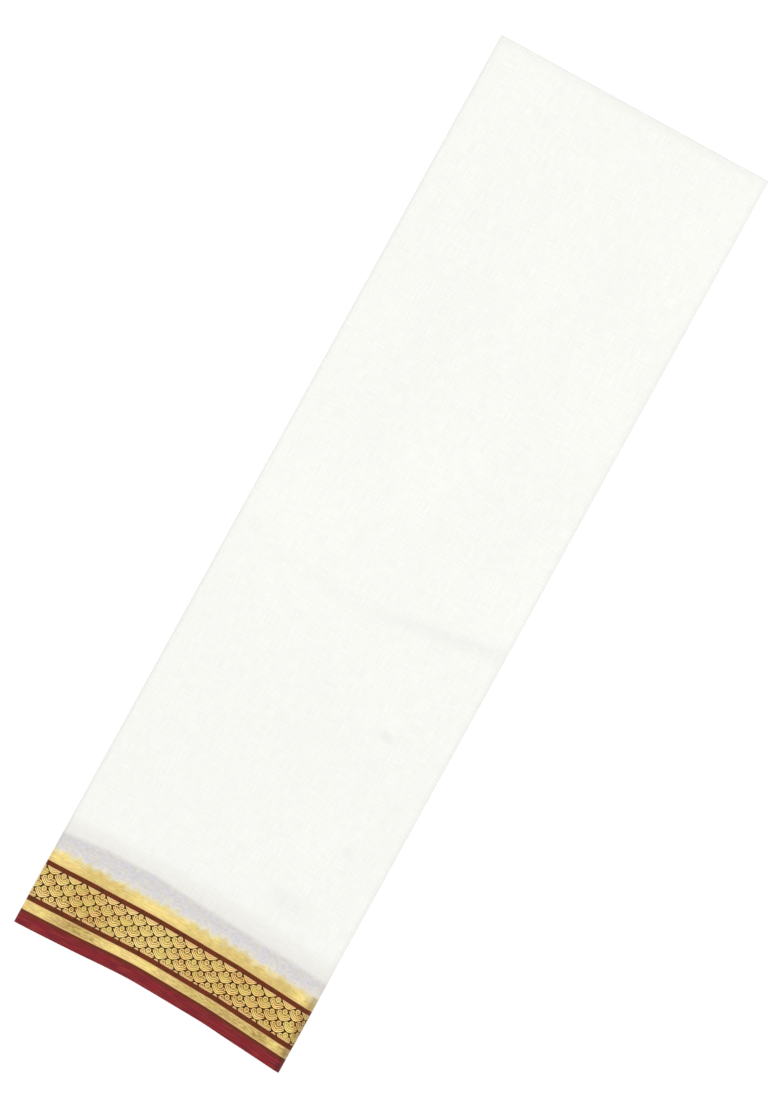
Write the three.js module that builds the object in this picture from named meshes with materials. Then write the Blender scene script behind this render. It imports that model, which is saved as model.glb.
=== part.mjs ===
// A silk sari folded flat: one length of off-white silk with a zari border along its
// selvedge, halved across its width and then five times along its length. The outermost
// stretch is modelled as a wall that wraps the right side of the strip and turns in at the
// upper left fold, and everything inside it is one solid, layered at its edges.
// Millimetres, +Z up, +Y from the selvedges to the halved end, origin under the middle.
import * as THREE from 'three';

// ---- Driving dimensions ----------------------------------------------------------------
const clothLength = 5500;
const clothWidth = 1140;
const lengthHalvings = 5;
const plyThickness = 0.22;
const wallThickness = 1.0;
const seamGap = 0.3;
const restGap = 0.3;

const panelCount = 2 ** lengthHalvings;
const panelWidth = clothLength / panelCount;
const panelLength = clothWidth / 2;
const stackHeight = panelCount * 2 * plyThickness;

// The last fold, on the right, holds every panel. The fold before it holds the upper half.
const lastFoldReach = 4.5;
const upperFoldReach = 2.8;
const turnInLength = 6;
const looseEndInset = 1.6;

// The selvedges aren't quite in line: how far the edge rises along the strip, by its place
// across the strip, from 0 at the left to 1 at the right.
const selvedgeLine = [
  { across: 0.0, rise: 0.0 },
  { across: 0.22, rise: 1.2 },
  { across: 0.41, rise: 2.7 },
  { across: 0.61, rise: 1.7 },
  { across: 0.8, rise: -0.4 },
  { across: 1.0, rise: -3.2 },
];

// The woven zones of the border, by distance from the selvedge.
const wovenZones = [
  { name: 'maroon_selvedge', from: 0, to: 8.6, colour: 0x852d31, roughness: 0.75, metalness: 0 },
  { name: 'plain_gold_band', from: 8.6, to: 14.2, colour: 0xd8bb6e, roughness: 0.45, metalness: 0.6 },
  { name: 'lower_guard_line', from: 14.2, to: 16.9, colour: 0x6e351b, roughness: 0.75, metalness: 0 },
  { name: 'lotus_band', from: 16.9, to: 36.3, colour: 0xc5a25f, roughness: 0.5, metalness: 0.5 },
  { name: 'upper_guard_line', from: 36.3, to: 39.0, colour: 0x78411e, roughness: 0.75, metalness: 0 },
  { name: 'toothed_gold_band', from: 39.0, to: 46.7, colour: 0xe6cf82, roughness: 0.45, metalness: 0.6 },
];
const borderWidth = wovenZones[wovenZones.length - 1].to;

// The soft crease that crosses the top panel, deepest towards the right.
const crossCrease = [
  { across: 0.0, up: 266, depth: 0.15 },
  { across: 0.2, up: 257, depth: 0.1 },
  { across: 0.49, up: 251, depth: 0.1 },
  { across: 0.69, up: 256, depth: 0.35 },
  { across: 0.85, up: 261, depth: 0.6 },
  { across: 1.0, up: 265, depth: 0.55 },
];
const creaseHalfWidth = 7;

// Small hollows pressed into the top panel.
const hollows = [
  { across: 0.77, up: 193, reachX: 7, reachY: 5, depth: 0.35 },
  { across: 0.84, up: 124, reachX: 6, reachY: 8, depth: 0.3 },
  { across: 0.74, up: 83, reachX: 16, reachY: 10, depth: 0.3 },
];
const deepestRelief = 0.8;

// Distances up the strip at which the field's sections lie, close together at the relief.
const fieldSections = [74, 83, 92, 117, 124, 131, 188, 193, 198, 236, 244, 250, 256, 262,
  268, 276, 290, 420];

// The leaves of the hidden stack, counted in panels up from the underside, with how far
// each one's edge lies inside the outermost stretch at the selvedges and the halved end.
const leaves = [
  { lowest: 2, highest: 2, selvedgeInset: 1.1, foldInset: 0.9 },
  { lowest: 3, highest: 4, selvedgeInset: 0.5, foldInset: 1.5 },
  { lowest: 5, highest: 8, selvedgeInset: 1.4, foldInset: 0.6 },
  { lowest: 9, highest: 12, selvedgeInset: 0.8, foldInset: 1.2 },
  { lowest: 13, highest: 16, selvedgeInset: 1.6, foldInset: 0.5 },
  { lowest: 17, highest: 23, selvedgeInset: 0.6, foldInset: 1.4 },
  { lowest: 24, highest: 27, selvedgeInset: 1.2, foldInset: 0.8 },
  { lowest: 28, highest: 31, selvedgeInset: 0.8, foldInset: 1.1 },
];
const grooveDepth = 0.4;
const grooveShare = 0.22;

// The rounded noses that show at the left, under the turned-in edge.
const leftNoses = [
  { lowest: 2, highest: 2, inset: 2.4, depth: 0.2 },
  { lowest: 3, highest: 4, inset: 1.2, depth: 0.5 },
  { lowest: 5, highest: 8, inset: 2.0, depth: 1.0 },
  { lowest: 9, highest: 16, inset: 0.9, depth: 1.8 },
];

// ---- Places worked out from the dimensions ----------------------------------------------
const selvedgeDrop = -selvedgeLine[selvedgeLine.length - 1].rise;
const foldEndY = (panelLength + selvedgeDrop) / 2;
const leftCornerY = foldEndY - panelLength;
const leftEdgeX = -panelWidth / 2;
const rightEdgeX = panelWidth / 2;
const middleZ = stackHeight / 2;

function acrossOf(x) {
  return THREE.MathUtils.clamp((x - leftEdgeX) / panelWidth, 0, 1);
}

// One column of a table, read between the rows that lie either side of a place across.
function readTable(table, column, across) {
  let row = 0;
  while (row < table.length - 2 && across > table[row + 1].across) row += 1;
  const low = table[row];
  const high = table[row + 1];
  const share = (across - low.across) / (high.across - low.across);
  return THREE.MathUtils.lerp(low[column], high[column], share);
}

function selvedgeY(x) {
  return leftCornerY + readTable(selvedgeLine, 'rise', acrossOf(x));
}

// A point at a distance up the strip. The selvedge's line fades out towards the fold end.
function alongY(x, distance) {
  const straightness = THREE.MathUtils.smoothstep(distance, borderWidth, panelLength / 2);
  const edge = THREE.MathUtils.lerp(selvedgeY(x), leftCornerY, straightness);
  return edge + distance;
}

// A smooth dip, one at its middle and nothing beyond its reach.
function dip(distance, reach) {
  return 1 - THREE.MathUtils.smoothstep(Math.abs(distance), 0, reach);
}

function reliefAt(x, distance) {
  const across = acrossOf(x);
  const fromCrease = distance - readTable(crossCrease, 'up', across);
  let depth = readTable(crossCrease, 'depth', across) * dip(fromCrease, creaseHalfWidth);
  for (const hollow of hollows) {
    const sideways = x - (leftEdgeX + hollow.across * panelWidth);
    const upwards = distance - hollow.up;
    depth += hollow.depth * dip(sideways, hollow.reachX) * dip(upwards, hollow.reachY);
  }
  return -Math.min(depth, deepestRelief);
}

// ---- The outermost stretch's section -----------------------------------------------------
// A half ellipse from startAngle to endAngle about (x, z), with its outward normals.
function foldRound(x, z, reach, halfHeight, startAngle, endAngle, steps) {
  const points = [];
  for (let step = 0; step <= steps; step += 1) {
    const angle = THREE.MathUtils.lerp(startAngle, endAngle, step / steps);
    const normal = new THREE.Vector2(Math.cos(angle) / reach, Math.sin(angle) / halfHeight);
    normal.normalize();
    points.push({
      x: x + reach * Math.cos(angle),
      z: z + halfHeight * Math.sin(angle),
      normal,
    });
  }
  return points;
}

// From the turned-in edge, round the upper left fold, over the top, round the last fold and
// back under to the loose end. The outward side is on the left of the way it runs.
function wrapSection() {
  const upperFoldX = leftEdgeX + upperFoldReach;
  const lastFoldX = rightEdgeX - lastFoldReach;
  const upperHalf = stackHeight / 4;
  const topSteps = 18;
  const undersideSteps = 3;
  const down = new THREE.Vector2(0, -1);
  const up = new THREE.Vector2(0, 1);
  const section = [{ x: upperFoldX + turnInLength, z: middleZ, normal: down }];
  section.push(...foldRound(upperFoldX, middleZ + upperHalf, upperFoldReach, upperHalf,
    -Math.PI / 2, -3 * Math.PI / 2, 8));
  for (let step = 1; step < topSteps; step += 1) {
    const x = THREE.MathUtils.lerp(upperFoldX, lastFoldX, step / topSteps);
    section.push({ x, z: stackHeight, normal: up });
  }
  section.push(...foldRound(lastFoldX, middleZ, lastFoldReach, middleZ,
    Math.PI / 2, -Math.PI / 2, 12));
  for (let step = 1; step <= undersideSteps; step += 1) {
    const looseEndX = leftEdgeX + looseEndInset;
    const x = THREE.MathUtils.lerp(lastFoldX, looseEndX, step / undersideSteps);
    section.push({ x, z: 0, normal: down });
  }
  return section;
}

// ---- Meshes --------------------------------------------------------------------------------
function closedMesh(name, positions, triangles, look) {
  const geometry = new THREE.BufferGeometry();
  geometry.setAttribute('position', new THREE.Float32BufferAttribute(positions, 3));
  geometry.setIndex(triangles);
  geometry.computeVertexNormals();
  const material = new THREE.MeshStandardMaterial({
    color: look.colour,
    roughness: look.roughness,
    metalness: look.metalness,
    flatShading: true,
  });
  const mesh = new THREE.Mesh(geometry, material);
  mesh.name = name;
  return mesh;
}

// A wall along the wrap's section, between stations up the strip. Each station has its
// distance from the selvedge and how far it is drawn in from both faces of the wall.
function wrapWall(name, stations, look) {
  const section = wrapSection();
  const columns = section.length;
  const positions = [];
  for (const side of ['outer', 'inner']) {
    for (const station of stations) {
      for (const point of section) {
        const facesUp = Math.max(0, point.normal.y);
        const relief = reliefAt(point.x, station.distance) * facesUp * facesUp;
        const depth = side === 'outer' ? station.drawnIn : wallThickness - station.drawnIn;
        positions.push(
          point.x - point.normal.x * depth,
          alongY(point.x, station.distance),
          point.z - point.normal.y * depth + relief,
        );
      }
    }
  }
  const triangles = [];
  const quad = (a, b, c, d) => triangles.push(a, b, c, a, c, d);
  const outer = (row, column) => row * columns + column;
  const inner = (row, column) => (stations.length + row) * columns + column;
  const lastRow = stations.length - 1;
  const lastColumn = columns - 1;
  for (let row = 0; row < lastRow; row += 1) {
    for (let column = 0; column < lastColumn; column += 1) {
      quad(outer(row, column), outer(row, column + 1),
        outer(row + 1, column + 1), outer(row + 1, column));
      quad(inner(row, column), inner(row + 1, column),
        inner(row + 1, column + 1), inner(row, column + 1));
    }
    quad(outer(row, 0), outer(row + 1, 0), inner(row + 1, 0), inner(row, 0));
    quad(outer(row, lastColumn), inner(row, lastColumn),
      inner(row + 1, lastColumn), outer(row + 1, lastColumn));
  }
  for (let column = 0; column < lastColumn; column += 1) {
    quad(outer(0, column), inner(0, column), inner(0, column + 1), outer(0, column + 1));
    quad(outer(lastRow, column), outer(lastRow, column + 1),
      inner(lastRow, column + 1), inner(lastRow, column));
  }
  return closedMesh(name, positions, triangles, look);
}

// One woven zone of the border, with half a seam's gap at each side that meets another.
function wovenZone(zone) {
  const start = zone.from === 0 ? 0 : zone.from + seamGap / 2;
  const end = zone.to - seamGap / 2;
  const stations = [
    { distance: start, drawnIn: 0 },
    { distance: end, drawnIn: 0 },
  ];
  return wrapWall(zone.name, stations, zone);
}

// The field, from the border to the halved end, where its two plies close in a rounded fold.
function silkField() {
  const noseLength = 0.5;
  const stations = [{ distance: borderWidth + seamGap / 2, drawnIn: 0 }];
  for (const distance of fieldSections) {
    stations.push({ distance, drawnIn: 0 });
  }
  stations.push({ distance: panelLength - noseLength, drawnIn: 0 });
  stations.push({ distance: panelLength, drawnIn: wallThickness * 0.32 });
  const look = { colour: 0xf7f7f2, roughness: 0.6, metalness: 0 };
  return wrapWall('silk_field', stations, look);
}

// ---- The hidden stack ------------------------------------------------------------------------
const stackBottomZ = wallThickness + restGap;
const stackTopZ = stackHeight - wallThickness - restGap - deepestRelief;
const hiddenPanels = panelCount - 2;

// The height at which a panel begins. Panel 2 lies on the outermost stretch's underside.
function panelZ(panel) {
  return THREE.MathUtils.lerp(stackBottomZ, stackTopZ, (panel - 2) / hiddenPanels);
}

// The inner side of a fold of the wrap, less the gap, at a height.
function insideFold(reach, halfHeight, centreZ, z) {
  const inside = wallThickness + restGap;
  const rise = THREE.MathUtils.clamp((z - centreZ) / (halfHeight - inside), -1, 1);
  return (reach - inside) * Math.sqrt(1 - rise * rise);
}

function rightSideX(z) {
  return rightEdgeX - lastFoldReach + insideFold(lastFoldReach, middleZ, middleZ, z);
}

function leftSideX(z) {
  if (z > middleZ) {
    const halfHeight = stackHeight / 4;
    const reach = insideFold(upperFoldReach, halfHeight, middleZ + halfHeight, z);
    return leftEdgeX + upperFoldReach - reach;
  }
  const nose = leftNoses.find((row) => z <= panelZ(row.highest + 1)) ?? leftNoses.at(-1);
  const bottom = panelZ(nose.lowest);
  const share = THREE.MathUtils.clamp((z - bottom) / (panelZ(nose.highest + 1) - bottom), 0, 1);
  const roundness = Math.sqrt(Math.max(0, 1 - (2 * share - 1) ** 2));
  return leftEdgeX + nose.inset + nose.depth * (1 - roundness);
}

// The level outlines of the stack, from the bottom up: two for each leaf, and a drawn-in one
// where leaves meet. At half height the left side draws in clear of the turned-in edge.
function stackOutlines() {
  const outlines = [];
  const add = (z, leaf, groove, leftX) => outlines.push({
    z,
    left: leftX ?? leftSideX(z) + groove,
    right: rightSideX(z) - groove,
    selvedgeInset: leaf.selvedgeInset + groove,
    foldInset: leaf.foldInset + groove,
  });
  const turnInClearX = leftEdgeX + upperFoldReach + turnInLength + 2 * restGap;
  const firstUpperPanel = panelCount / 2 + 1;
  leaves.forEach((leaf, index) => {
    const bottom = panelZ(leaf.lowest);
    const top = panelZ(leaf.highest + 1);
    const shoulder = (top - bottom) * grooveShare;
    const below = leaves[index - 1] ?? leaf;
    const meeting = {
      selvedgeInset: Math.max(leaf.selvedgeInset, below.selvedgeInset),
      foldInset: Math.max(leaf.foldInset, below.foldInset),
    };
    if (leaf.lowest === firstUpperPanel) {
      add(middleZ - restGap, meeting, grooveDepth, turnInClearX);
      add(bottom + shoulder, leaf, 0, turnInClearX);
      add(middleZ + wallThickness + restGap, leaf, 0, turnInClearX);
    } else {
      add(bottom, meeting, grooveDepth);
      add(bottom + shoulder, leaf, 0);
    }
    add(top - shoulder, leaf, 0);
  });
  add(stackTopZ, leaves.at(-1), grooveDepth);
  return outlines;
}

// One solid: the level outlines as rings, closed by a flat cap at the top and the bottom.
function hiddenFolds() {
  const across = 12;
  const along = 8;
  const outlines = stackOutlines();
  const positions = [];
  const triangles = [];
  const quad = (a, b, c, d) => triangles.push(a, b, c, a, c, d);

  const gridPoint = (outline, column, row) => {
    const x = THREE.MathUtils.lerp(outline.left, outline.right, column / across);
    const start = selvedgeY(x) + outline.selvedgeInset;
    const end = foldEndY - outline.foldInset;
    return [x, THREE.MathUtils.lerp(start, end, row / along), outline.z];
  };

  // The grid places round the edge, counter-clockwise from the left selvedge corner.
  const rim = [];
  for (let column = 0; column < across; column += 1) rim.push([column, 0]);
  for (let row = 0; row < along; row += 1) rim.push([across, row]);
  for (let column = across; column > 0; column -= 1) rim.push([column, along]);
  for (let row = along; row > 0; row -= 1) rim.push([0, row]);

  for (const outline of outlines) {
    for (const [column, row] of rim) positions.push(...gridPoint(outline, column, row));
  }
  for (let ring = 0; ring < outlines.length - 1; ring += 1) {
    for (let place = 0; place < rim.length; place += 1) {
      const next = (place + 1) % rim.length;
      const below = ring * rim.length;
      const above = below + rim.length;
      quad(below + place, below + next, above + next, above + place);
    }
  }

  // A cap over the ring that starts at firstIndex, facing up or down.
  const cap = (outline, firstIndex, facesUp) => {
    const places = new Map(rim.map(([column, row], place) => [`${column},${row}`, place]));
    const index = (column, row) => {
      const key = `${column},${row}`;
      if (places.has(key)) return firstIndex + places.get(key);
      places.set(key, positions.length / 3 - firstIndex);
      positions.push(...gridPoint(outline, column, row));
      return firstIndex + places.get(key);
    };
    for (let column = 0; column < across; column += 1) {
      for (let row = 0; row < along; row += 1) {
        const corners = [index(column, row), index(column + 1, row),
          index(column + 1, row + 1), index(column, row + 1)];
        if (!facesUp) corners.reverse();
        quad(...corners);
      }
    }
  };
  cap(outlines[0], 0, false);
  cap(outlines.at(-1), (outlines.length - 1) * rim.length, true);

  const look = { colour: 0xf1efe6, roughness: 0.7, metalness: 0 };
  return closedMesh('hidden_folds', positions, triangles, look);
}

// ---- The sari ------------------------------------------------------------------------------
const sari = new THREE.Group();
sari.add(silkField());
for (const zone of wovenZones) sari.add(wovenZone(zone));
sari.add(hiddenFolds());

export default sari;
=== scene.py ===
"""A silk sari folded flat: an off-white length of silk with a zari border and a maroon selvedge."""

from functools import cached_property, partial
import math

import bmesh
import bpy
import numpy as np
from mathutils import Euler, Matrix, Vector


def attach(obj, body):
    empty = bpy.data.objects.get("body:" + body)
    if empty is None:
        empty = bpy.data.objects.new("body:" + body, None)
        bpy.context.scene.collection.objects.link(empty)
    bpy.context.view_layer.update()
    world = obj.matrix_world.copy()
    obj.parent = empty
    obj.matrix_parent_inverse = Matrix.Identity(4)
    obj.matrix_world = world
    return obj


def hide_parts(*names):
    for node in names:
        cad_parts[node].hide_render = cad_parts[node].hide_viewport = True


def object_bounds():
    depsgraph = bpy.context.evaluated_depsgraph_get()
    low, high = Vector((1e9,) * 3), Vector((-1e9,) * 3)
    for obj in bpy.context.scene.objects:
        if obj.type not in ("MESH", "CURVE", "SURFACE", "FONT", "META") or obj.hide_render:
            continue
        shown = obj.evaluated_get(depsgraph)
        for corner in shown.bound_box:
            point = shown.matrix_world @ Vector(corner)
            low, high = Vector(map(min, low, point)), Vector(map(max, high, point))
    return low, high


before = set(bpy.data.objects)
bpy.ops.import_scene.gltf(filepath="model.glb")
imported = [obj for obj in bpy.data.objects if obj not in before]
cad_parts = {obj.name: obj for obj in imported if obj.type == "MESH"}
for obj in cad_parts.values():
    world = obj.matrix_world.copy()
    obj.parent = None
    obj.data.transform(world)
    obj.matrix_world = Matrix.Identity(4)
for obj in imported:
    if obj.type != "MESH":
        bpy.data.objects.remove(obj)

bl_info = {
    "name": "Folded Silk Sari",
    "version": (1, 0, 0),
    "blender": (4, 5, 0),
    "location": "3D View > Sidebar > Sari",
    "description": "Lays out a silk sari folded flat, with its zari border, round a fixed frame",
    "category": "Object",
}

CAD_LOW, CAD_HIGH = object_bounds()
MM = 0.001
BODY = "root"

# ---- Places taken from the frame ----
LEFT, RIGHT = CAD_LOW.x, CAD_HIGH.x
FOLD_END = CAD_HIGH.y
TOP = CAD_HIGH.z
STRIP_WIDTH = RIGHT - LEFT
STRIP_LENGTH = 570 * MM
LEFT_CORNER = FOLD_END - STRIP_LENGTH
MIDDLE = TOP / 2

# How far the selvedge's line rises along the strip, by its place across it, in mm.
SELVEDGE_ACROSS = (-0.1, 0.0, 0.07, 0.22, 0.34, 0.41, 0.48, 0.61, 0.7, 0.8, 0.9, 1.0, 1.1)
SELVEDGE_RISE = (-0.3, 0.0, 0.25, 1.2, 2.3, 2.75, 2.5, 1.7, 1.15, -0.4, -1.75, -3.2, -4.6)

# How far the top of the border is drawn up or down beyond that, by its place across, in mm.
PULL_ACROSS = (-0.1, 0.16, 0.26, 0.33, 0.41, 0.65, 0.75, 0.85, 0.95, 1.0, 1.1)
PULL = (1.0, 0.8, 0.1, -0.35, -0.8, -0.85, -0.45, -0.2, -0.1, 0.3, 0.6)
# The share of that pull by the height above the selvedge, in mm.
PULL_UP = (8.6, 15.0, 39.0, 50.0, 110.0)
PULL_SHARE = (0.0, 0.45, 1.0, 1.0, 0.0)

# How far the lotus buds have drifted sideways in the weaving, by their place across, in mm.
DRIFT_ACROSS = (0.0, 0.11, 0.18, 0.25, 0.31, 0.38, 0.5, 0.7, 0.83, 0.96, 1.0)
DRIFT = (0.7, 1.2, 0.6, -0.35, -0.85, -1.2, -1.1, -0.9, -0.5, 0.0, 0.0)

# The woven zones of the border: CAD node, slot, finish, and where each begins and ends, in mm.
ZONES = (
    ("maroon_selvedge", "maroon_silk", "maroon", 0.0, 8.6),
    ("plain_gold_band", "gold_zari", "gold", 8.6, 14.2),
    ("lower_guard_line", "brown_guard_weft", "guard", 14.2, 17.1),
    ("lotus_band", "figured_zari", "ground", 17.1, 36.3),
    ("upper_guard_line", "brown_guard_weft", "guard", 36.3, 39.0),
    ("toothed_gold_band", "gold_zari", "gold", 39.0, 46.7),
)
LOTUS_ZONE = ZONES[3]
BORDER = ZONES[-1][-1] * MM

# The soft crease across the top panel: its place across, height up the strip and depth, in mm.
CREASE_ACROSS = (0.0, 0.2, 0.49, 0.69, 0.85, 1.0)
CREASE_UP = (269.0, 260.0, 254.0, 259.5, 264.5, 268.5)
CREASE_DEPTH = (0.2, 0.18, 0.18, 0.66, 0.78, 0.7)
# Small hollows pressed into the top panel: place across, height up, reach each way, depth.
HOLLOWS = (
    (0.78, 193.5, 5.5, 2.8, 0.8),
    (0.855, 127.0, 6.0, 6.0, 0.4),
    (0.765, 91.0, 22.0, 15.0, 1.15),
)
# Both are steep on their lower side and rise slowly on their upper side: how far the crease
# reaches down and up, in mm, and how many times further a hollow reaches upwards.
CREASE_BELOW, CREASE_ABOVE = 6.5, 30.0
HOLLOW_DRAWN = 5
# The silk lies this unevenly, in mm, in waves about 110 and 190 mm long.
UNEVEN = 0.07
# The top panel sinks over this much of its length at the selvedge and at the halved end.
LOWER_SINK, UPPER_SINK = 14 * MM, 6 * MM

# Lines along the outermost stretch: underside, last fold, top, upper fold and turned-in edge.
UNDER_LINES, LAST_FOLD_LINES, TOP_LINES, UPPER_FOLD_LINES, TURNED_LINES = 9, 18, 90, 12, 4
# Where the outermost stretch's inner ply has points, from the halved end down, in mm.
BACK_LINES = (569.7, 568, 564, 558)

# Panels in the stack, and where their folds lie at the left: lowest and highest panel, how far
# the fold lies inside the strip's edge, and how far it rounds out, in mm.
PANELS = 32
LEFT_NESTS = ((3, 4, 1.2, 0.45), (5, 8, 2.0, 0.95), (9, 16, 0.9, 1.7), (17, 32, 0.0, 2.8))
# The cloth's last end lies this far inside the strip's left edge, in mm.
LAST_END = 2.4
# A panel's thickness, the room under the creased top panel and inside the last fold, and the
# gap between the turned-in edge and the hidden cloth that goes on from it.
PANEL_DEPTH, CREASE_ROOM, FOLD_ROOM, TURN_GAP = 0.44 * MM, 0.9 * MM, 0.3 * MM, 1 * MM
# Hidden plies are pressed closer than the outermost one.
HIDDEN_PLY, HIDDEN_GAP = 0.13 * MM, 0.07 * MM
# Lines along each hidden panel and round each fold, and points up the strip, in mm.
PANEL_LINES, FOLD_LINES = 9, 7
HIDDEN_UP = (0, 4.3, 8.6, 14.2, 16.9, 36.3, 39.0, 46.7, 72, 240, 420, 560, 570)


def linear(hex_text):
    """The linear colour of an sRGB hex value, with full alpha."""
    parts = [int(hex_text[place:place + 2], 16) / 255 for place in (0, 2, 4)]
    return (*[c / 12.92 if c <= 0.04045 else ((c + 0.055) / 1.055) ** 2.4 for c in parts], 1.0)


def colour_property(name, hex_text, description):
    """A colour that a user may change, given as an sRGB hex value."""
    return bpy.props.FloatVectorProperty(name=name, subtype="COLOR", size=4, min=0, max=1,
                                         default=linear(hex_text), description=description)


def length_property(name, default, description):
    """A length that a user may change, in metres."""
    return bpy.props.FloatProperty(name=name, default=default, unit="LENGTH", min=0,
                                   precision=5, description=description)


class SariSizes(bpy.types.PropertyGroup):
    """The sizes of the folded cloth."""
    ply: length_property("Ply", 0.17 * MM, "Thickness of one ply of the silk")
    ply_gap: length_property("Ply gap", 0.1 * MM, "Air between the two plies of a panel")
    last_fold: length_property("Last fold", 4.5 * MM, "How far the fold on the right rounds out")
    upper_fold: length_property("Upper fold", 2.8 * MM, "How far the upper left fold rounds out")
    turn_in: length_property("Turn in", 6 * MM, "Length of cloth turned in under the upper fold")
    loose_end: length_property("Loose end", 1.6 * MM, "Inset of the underside's loose end")
    crease: bpy.props.FloatProperty(name="Crease", default=1.0, min=0, max=2,
                                    description="Depth of the crease and hollows")
    settle: length_property("Settle", 0.5 * MM, "How far the top panel sinks at its ends")
    motif_pitch: length_property("Motif pitch", 12.79 * MM, "Distance between lotus buds")
    motif_rise: length_property("Motif rise", 3.65 * MM, "Height from one row of buds to the next")
    rib_pitch: length_property("Rib pitch", 0.7 * MM, "Distance between raised zari threads")
    tooth_pitch: length_property("Tooth pitch", 6.4 * MM, "Distance between the band's teeth")
    relief: length_property("Zari relief", 0.12 * MM, "How far zari stands above the silk")


class SariColours(bpy.types.PropertyGroup):
    """The colours of the yarns."""
    field: colour_property("Field", "E4E5E0", "Off-white silk ground")
    show_through: colour_property("Show-through", "C6C3C0", "Lilac grey above the border")
    gold: colour_property("Gold", "92742F", "Zari where it lies flat")
    bright_gold: colour_property("Bright gold", "F4DC8A", "Zari where it tips to the light")
    pink_gold: colour_property("Pink gold", "D1AB73", "Zari over pink silk")
    motif: colour_property("Figure", "643C0C", "Zari of the lotus buds")
    bright_motif: colour_property("Bright figure", "9C6C20", "The same, tipped to the light")
    pale: colour_property("Stroke", "FFCC6C", "Long floats of zari")
    bright_pale: colour_property("Bright stroke", "FFEF98", "The same, tipped to the light")
    ground: colour_property("Ground", "301502", "Brown silk between the lotus buds")
    guard: colour_property("Guard", "5C2908", "Brown guard lines")
    maroon: colour_property("Maroon", "752122", "Maroon silk of the selvedge")
    floor: colour_property("Floor", "808080", "White acrylic that the sari lies on")


# ---- Nodes ----
MATH, MIX, RANGE = "ShaderNodeMath", "ShaderNodeMix", "ShaderNodeMapRange"
NOISE, RAMP, SPLIT = "ShaderNodeTexNoise", "ShaderNodeValToRGB", "ShaderNodeSeparateXYZ"
JOIN, MAPPING, BUMP = "ShaderNodeCombineXYZ", "ShaderNodeMapping", "ShaderNodeBump"
VECTOR, COORDINATES = "ShaderNodeVectorMath", "ShaderNodeTexCoord"
OBJECT_PLACE = 3  # The output of Texture Coordinate that gives Object coordinates.


def as_colour(value):
    """A colour for a socket or a ramp: an sRGB hex value is turned to linear."""
    return linear(value) if isinstance(value, str) else tuple(value)


def add_node(tree, kind, *values, give=0, stops=None, **settings):
    """Adds a node with its settings and returns one of its outputs.

    Its inputs are filled in order: a socket is linked, None is passed over, and any other value
    is set. Stops are the places and colours of a ramp.
    """
    made = tree.nodes.new(kind)
    for key, value in settings.items():
        setattr(made, key, value)
    inputs = [socket for socket in made.inputs if socket.enabled]
    for socket, value in zip(inputs, values):
        if isinstance(value, bpy.types.NodeSocket):
            tree.links.new(value, socket)
        elif value is not None:
            socket.default_value = as_colour(value) if socket.type == "RGBA" else value
    if stops:
        ramp = made.color_ramp
        while len(ramp.elements) < len(stops):
            ramp.elements.new(1.0)
        for element, (place, colour) in zip(ramp.elements, stops):
            element.position = place
            element.color = as_colour(colour)
    outputs = [socket for socket in made.outputs if socket.enabled]
    return outputs[give] if outputs else None


def grey_stops(table):
    """A ramp's stops from a table of places and values."""
    return [(place, (value, value, value, 1.0)) for place, value in table]


# Painted highlight: where the zari tips towards the light, by its place across the strip, from 0 to
# 1.
GLEAM = ((0.0, 0.7), (0.075, 0.85), (0.115, 0.45), (0.16, 0.1), (0.21, 0.2), (0.27, 0.5),
         (0.32, 0.85), (0.4, 1.0), (0.46, 0.9), (0.52, 0.5), (0.57, 0.33), (0.72, 0.28),
         (0.9, 0.2), (0.925, 0.5), (0.948, 0.9), (0.962, 0.4), (0.975, 0.0))

# The border's back shows through the field from the first height on, up to a line that wavers
# between the other two, by its place across the strip. The field's own colour takes over
# between the last two heights.
VEIL_START, VEIL_LOW, VEIL_HIGH = 45 * MM, 55 * MM, 60 * MM
FIELD_START, FIELD_PLAIN = 66 * MM, 75 * MM
VEIL_LINE = ((0.0, 0.42), (0.07, 0.56), (0.16, 0.8), (0.25, 0.78), (0.34, 0.84), (0.43, 0.54),
             (0.54, 0.4), (0.65, 0.32), (0.75, 0.22), (0.84, 0.38), (1.0, 0.28))

# Pink silk shows in the first threads of the gold bands beside each brown line and the maroon,
# and of the figures beside the two brown lines: height in mm, up to the reach, and how much.
EDGE_REACH = 50
BAND_PINK = ((8.6, 0.85), (9.9, 0.1), (13.0, 0.1), (14.2, 0.8), (38.9, 0.7), (41.0, 0.05))
FIGURE_PINK = ((17.2, 0.9), (19.0, 0.0), (34.2, 0.0), (36.0, 0.8), (37.5, 0.8), (38.5, 0.0))

# How ragged the teeth and the veil are, and between which heights the zari thins out.
RAGGED = 1.7 * MM
THIN_START, THIN_END = 43.9 * MM, 46.9 * MM

# The border's colour is darkened round the last fold as painted shade, from this far inside its
# edge, to this far, down to a share of its colour.
FOLD_SHADE_START, FOLD_SHADE_END, FOLD_SHADE_SHARE = 4.6 * MM, 2.6 * MM, 0.7

# How far a thread stands out as bump: silk's and zari's.
SILK_THREAD, ZARI_THREAD = 0.08 * MM, 0.1 * MM
GREEN_GOLD = "CDBE58"


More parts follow.
